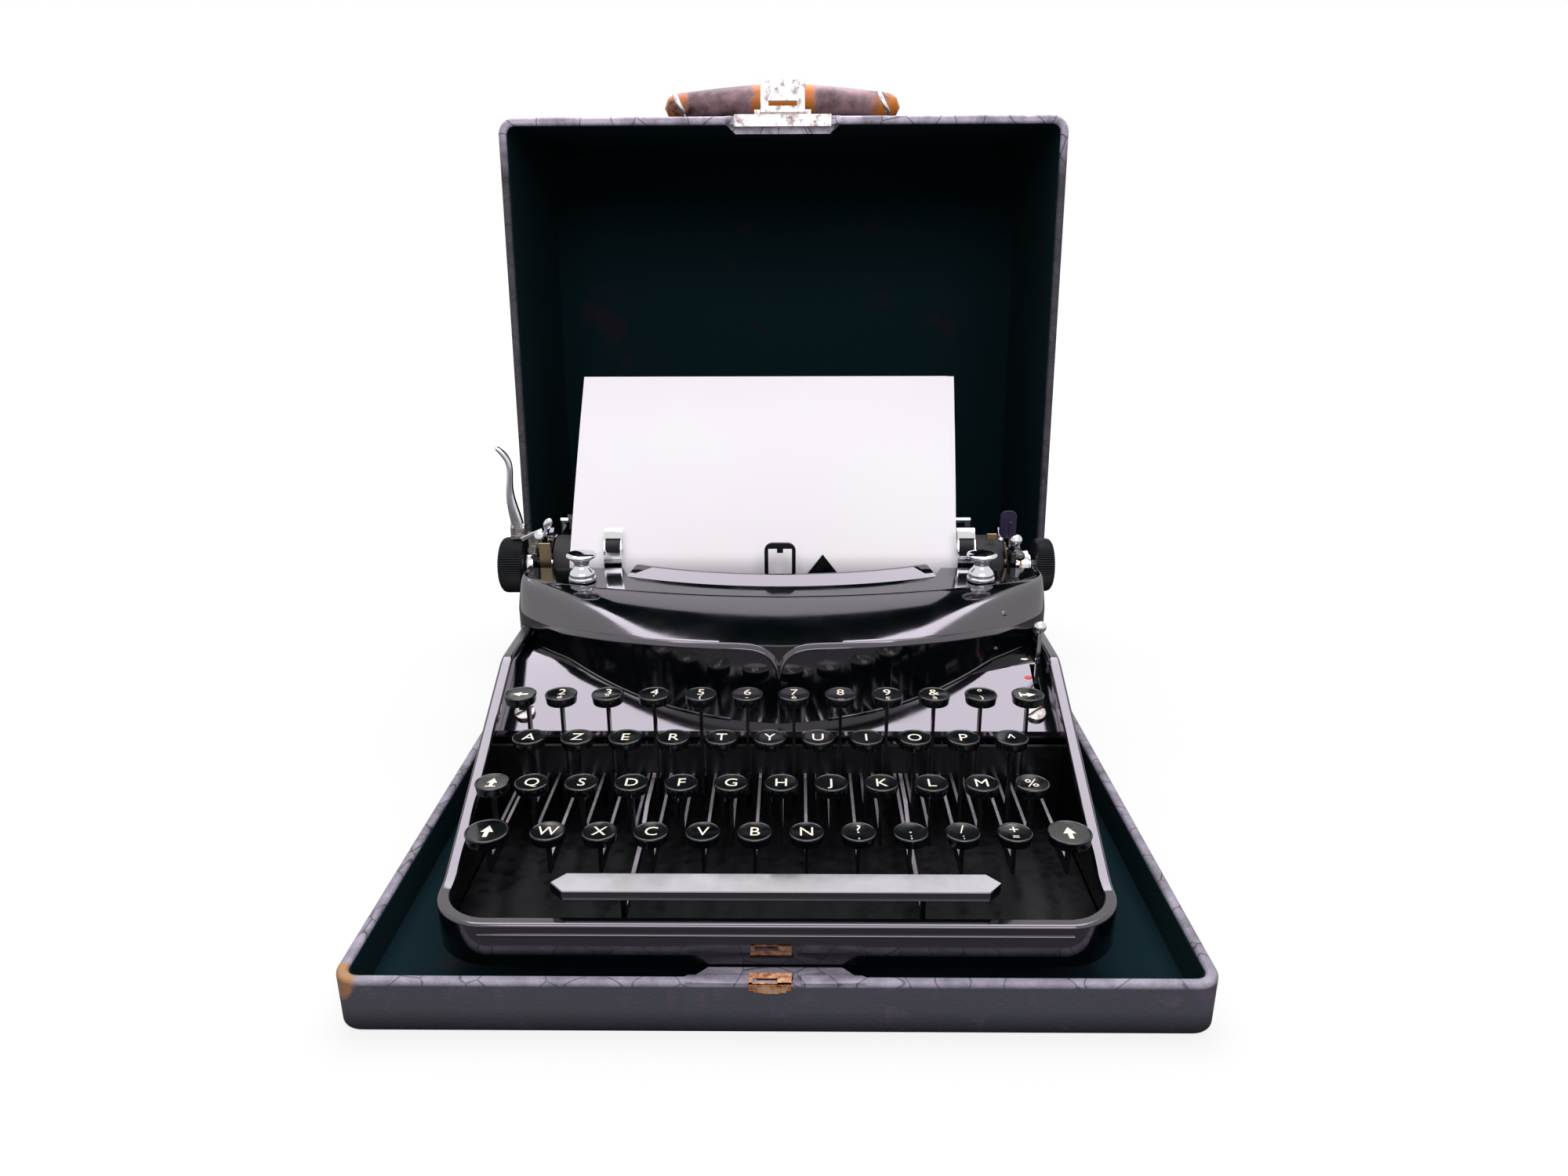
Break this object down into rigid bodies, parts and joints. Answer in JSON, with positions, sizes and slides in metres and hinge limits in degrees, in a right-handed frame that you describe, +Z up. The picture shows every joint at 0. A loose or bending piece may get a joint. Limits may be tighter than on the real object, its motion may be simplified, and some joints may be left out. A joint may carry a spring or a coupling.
{
  "type": "portable typewriter",
  "caption": "Portable manual typewriter standing in the tray of its hinged carrying case, with lid, carriage, keys and levers that move.",
  "frame": {"origin": "centre of the underside of the case's tray", "axes": "+X to the typist's right, +Y from the typist towards the lid's hinge, +Z up"},
  "size_m": [0.302, 0.4336, 0.3366],
  "materials": {
    "black_leatherette": "grained, worn at the corners",
    "dark_cloth": "matt",
    "nickel_plate": "worn plating",
    "copper_plate": "worn",
    "brown_leather": "worn",
    "black_enamel": "high gloss",
    "dark_steel": "satin",
    "black_rubber": "matt",
    "bare_steel": "satin",
    "key_steel": "satin levers with black caps in bright rings",
    "chrome": "polished",
    "black_plastic": "gloss",
    "ink_ribbon": "matt",
    "platen_rubber": "satin",
    "paper": "matt",
    "brass": "satin"
  },
  "bodies": {
    "base": {"case_tray": "black_leatherette", "tray_lining": "dark_cloth", "lock_keeper": "copper_plate", "tray_hinge_leaves": "nickel_plate", "base_frame": "black_enamel", "bottom_pan": "dark_steel", "rubber_feet": "black_rubber", "deck_panel": "black_enamel", "deck_fixings": "bare_steel", "front_shield": "black_enamel", "ribbon_cover": "black_enamel", "visor_strip": "black_enamel", "ribbon_band": "ink_ribbon", "type_guide": "dark_steel", "line_pointer": "dark_steel", "key_comb": "bare_steel", "lever_fulcrum": "bare_steel", "type_segment": "dark_steel", "carriage_rail": "bare_steel", "works_posts": "bare_steel"},
    "lid": {"case_lid": "black_leatherette", "lid_lining": "dark_cloth", "lid_hinge_leaves": "nickel_plate", "lock_plate": "nickel_plate", "handle_brackets": "nickel_plate"},
    "handle": {"handle_grip": "brown_leather", "handle_loops": "nickel_plate"},
    "hasp": {"lock_hasp": "chrome"},
    "number_row": {"number_keys": "key_steel"},
    "top_row": {"top_row_keys": "key_steel"},
    "home_row": {"home_row_keys": "key_steel"},
    "bottom_row": {"bottom_row_keys": "key_steel"},
    "space": {"space_bar": "black_plastic"},
    "left_shift": {"left_shift_key": "key_steel"},
    "right_shift": {"right_shift_key": "key_steel"},
    "shift_lock": {"shift_lock_key": "key_steel"},
    "backspace": {"backspace_key": "key_steel"},
    "margin_release": {"margin_release_key": "key_steel"},
    "type_basket": {"type_bars": "bare_steel"},
    "left_spool": {"left_ribbon_spool": "chrome"},
    "right_spool": {"right_ribbon_spool": "chrome"},
    "selector": {"ribbon_selector": "chrome"},
    "truck": {"roller_truck": "bare_steel"},
    "carriage": {"carriage_frame": "black_enamel", "paper_table": "black_enamel", "margin_rail": "chrome", "paper_sheet": "paper", "carriage_pins": "bare_steel"},
    "platen": {"platen_roller": "platen_rubber", "platen_shaft": "bare_steel", "platen_knobs": "black_plastic"},
    "bail": {"paper_fingers": "chrome", "finger_rollers": "black_rubber"},
    "return_base": {"lever_base": "chrome"},
    "return_arm": {"return_lever": "chrome"},
    "left_release": {"left_release_lever": "chrome"},
    "right_release": {"right_release_lever": "chrome"},
    "paper_release": {"paper_release_lever": "black_plastic"},
    "drum": {"spring_drum": "bare_steel"},
    "escapement": {"escapement_wheel": "brass"}
  },
  "joints": [
    {"name": "lid_hinge", "type": "hinge", "parent": "base", "child": "lid", "pos_m": [0, 0.1484, 0.0212], "axis": [1, 0, 0], "range_deg": [0, 94.4], "deforming": ["paper_sheet"]},
    {"name": "handle_swing", "type": "hinge", "parent": "lid", "child": "handle", "pos_m": [0, 0.21811, 0.31452], "axis": [1, 0, 0], "range_deg": [0, 60]},
    {"name": "hasp_swing", "type": "hinge", "parent": "lid", "child": "hasp", "pos_m": [0, 0.17435, 0.31678], "axis": [1, 0, 0], "range_deg": [0, 90]},
    {"name": "number_row_press", "type": "hinge", "parent": "base", "child": "number_row", "pos_m": [0, 0.059, 0.037], "axis": [1, 0, 0], "range_deg": [0, 5.5], "stiffness_Nm_per_rad": 3.5, "springref_deg": -20.05},
    {"name": "top_row_press", "type": "hinge", "parent": "base", "child": "top_row", "pos_m": [0, 0.059, 0.037], "axis": [1, 0, 0], "range_deg": [0, 5], "stiffness_Nm_per_rad": 3.85, "springref_deg": -20.05},
    {"name": "home_row_press", "type": "hinge", "parent": "base", "child": "home_row", "pos_m": [0, 0.059, 0.037], "axis": [1, 0, 0], "range_deg": [0, 4.4], "stiffness_Nm_per_rad": 3.85, "springref_deg": -20.05},
    {"name": "bottom_row_press", "type": "hinge", "parent": "base", "child": "bottom_row", "pos_m": [0, 0.059, 0.037], "axis": [1, 0, 0], "range_deg": [0, 3.6], "stiffness_Nm_per_rad": 3.5, "springref_deg": -20.05},
    {"name": "space_bar_press", "type": "hinge", "parent": "base", "child": "space", "pos_m": [0, 0.059, 0.037], "axis": [1, 0, 0], "range_deg": [0, 2.2], "stiffness_Nm_per_rad": 0.7, "springref_deg": -20.05},
    {"name": "left_shift_press", "type": "hinge", "parent": "base", "child": "left_shift", "pos_m": [0, 0.059, 0.037], "axis": [1, 0, 0], "range_deg": [0, 3], "stiffness_Nm_per_rad": 0.7, "springref_deg": -20.05},
    {"name": "right_shift_press", "type": "hinge", "parent": "base", "child": "right_shift", "pos_m": [0, 0.059, 0.037], "axis": [1, 0, 0], "range_deg": [0, 3], "stiffness_Nm_per_rad": 0.7, "springref_deg": -20.05},
    {"name": "shift_lock_press", "type": "hinge", "parent": "base", "child": "shift_lock", "pos_m": [0, 0.059, 0.037], "axis": [1, 0, 0], "range_deg": [0, 3], "stiffness_Nm_per_rad": 0.35, "springref_deg": -20.05},
    {"name": "backspace_press", "type": "hinge", "parent": "base", "child": "backspace", "pos_m": [0, 0.059, 0.037], "axis": [1, 0, 0], "range_deg": [0, 4.5], "stiffness_Nm_per_rad": 0.35, "springref_deg": -20.05},
    {"name": "margin_release_press", "type": "hinge", "parent": "base", "child": "margin_release", "pos_m": [0, 0.059, 0.037], "axis": [1, 0, 0], "range_deg": [0, 4.5], "stiffness_Nm_per_rad": 0.35, "springref_deg": -20.05},
    {"name": "type_bar_swing", "type": "hinge", "parent": "base", "child": "type_basket", "pos_m": [0, 0.052, 0.08], "axis": [-1, 0, 0], "range_deg": [0, 6]},
    {"name": "left_spool_spin", "type": "hinge", "parent": "base", "child": "left_spool", "pos_m": [-0.095, 0.042, 0.086], "axis": [0, 0, 1], "continuous": true},
    {"name": "right_spool_spin", "type": "hinge", "parent": "base", "child": "right_spool", "pos_m": [0.095, 0.042, 0.086], "axis": [0, 0, 1], "continuous": true},
    {"name": "selector_swing", "type": "hinge", "parent": "base", "child": "selector", "pos_m": [0.1126, -0.009, 0.052], "axis": [1, 0, 0], "range_deg": [-8, 8]},
    {"name": "truck_slide", "type": "slide", "parent": "base", "child": "truck", "axis": [1, 0, 0], "range_m": [-0.1, 0]},
    {"name": "carriage_slide", "type": "slide", "parent": "truck", "child": "carriage", "axis": [-1, 0, 0], "range_m": [-0.1, 0]},
    {"name": "platen_spin", "type": "hinge", "parent": "carriage", "child": "platen", "pos_m": [0, 0.0875, 0.0934], "axis": [1, 0, 0], "continuous": true},
    {"name": "paper_finger_swing", "type": "hinge", "parent": "carriage", "child": "bail", "pos_m": [0, 0.0676, 0.082], "axis": [1, 0, 0], "range_deg": [0, 8], "stiffness_Nm_per_rad": 0.06, "springref_deg": -28.65},
    {"name": "line_space_swing", "type": "hinge", "parent": "carriage", "child": "return_base", "pos_m": [-0.1276, 0.0875, 0.1035], "axis": [0, 1, 0], "range_deg": [0, 22], "stiffness_Nm_per_rad": 0.05, "springref_deg": -28.65},
    {"name": "return_lever_fold", "type": "hinge", "parent": "return_base", "child": "return_arm", "pos_m": [-0.1356, 0.0864, 0.1135], "axis": [-1, 0, 0], "range_deg": [0, 80.1]},
    {"name": "left_release_swing", "type": "hinge", "parent": "carriage", "child": "left_release", "pos_m": [-0.1186, 0.0722, 0.103], "axis": [0, 1, 0], "range_deg": [0, 18], "stiffness_Nm_per_rad": 0.01, "springref_deg": -22.92},
    {"name": "right_release_swing", "type": "hinge", "parent": "carriage", "child": "right_release", "pos_m": [0.1194, 0.0722, 0.103], "axis": [0, 1, 0], "range_deg": [0, 18], "stiffness_Nm_per_rad": 0.01, "springref_deg": -22.92},
    {"name": "paper_release_swing", "type": "hinge", "parent": "carriage", "child": "paper_release", "pos_m": [0.1186, 0.1, 0.098], "axis": [1, 0, 0], "range_deg": [0, 25]},
    {"name": "drum_spin", "type": "hinge", "parent": "base", "child": "drum", "pos_m": [-0.07, 0.09, 0.05], "axis": [0, 0, 1], "range_deg": [-290, 0]},
    {"name": "escapement_spin", "type": "hinge", "parent": "base", "child": "escapement", "pos_m": [0, 0.09, 0.047], "axis": [0, 0, 1], "range_deg": [-290, 0]}
  ],
  "couplings": [
    {"joint": "return_lever_fold", "follows": "lid_hinge", "ratio": 0.8475},
    {"joint": "type_bar_swing", "follows": "home_row_press", "ratio": 1.36},
    {"joint": "right_shift_press", "follows": "left_shift_press", "ratio": 1},
    {"joint": "right_spool_spin", "follows": "left_spool_spin", "ratio": 1},
    {"joint": "drum_spin", "follows": "truck_slide", "rad_per_m": 50},
    {"joint": "escapement_spin", "follows": "carriage_slide", "rad_per_m": 50}
  ]
}
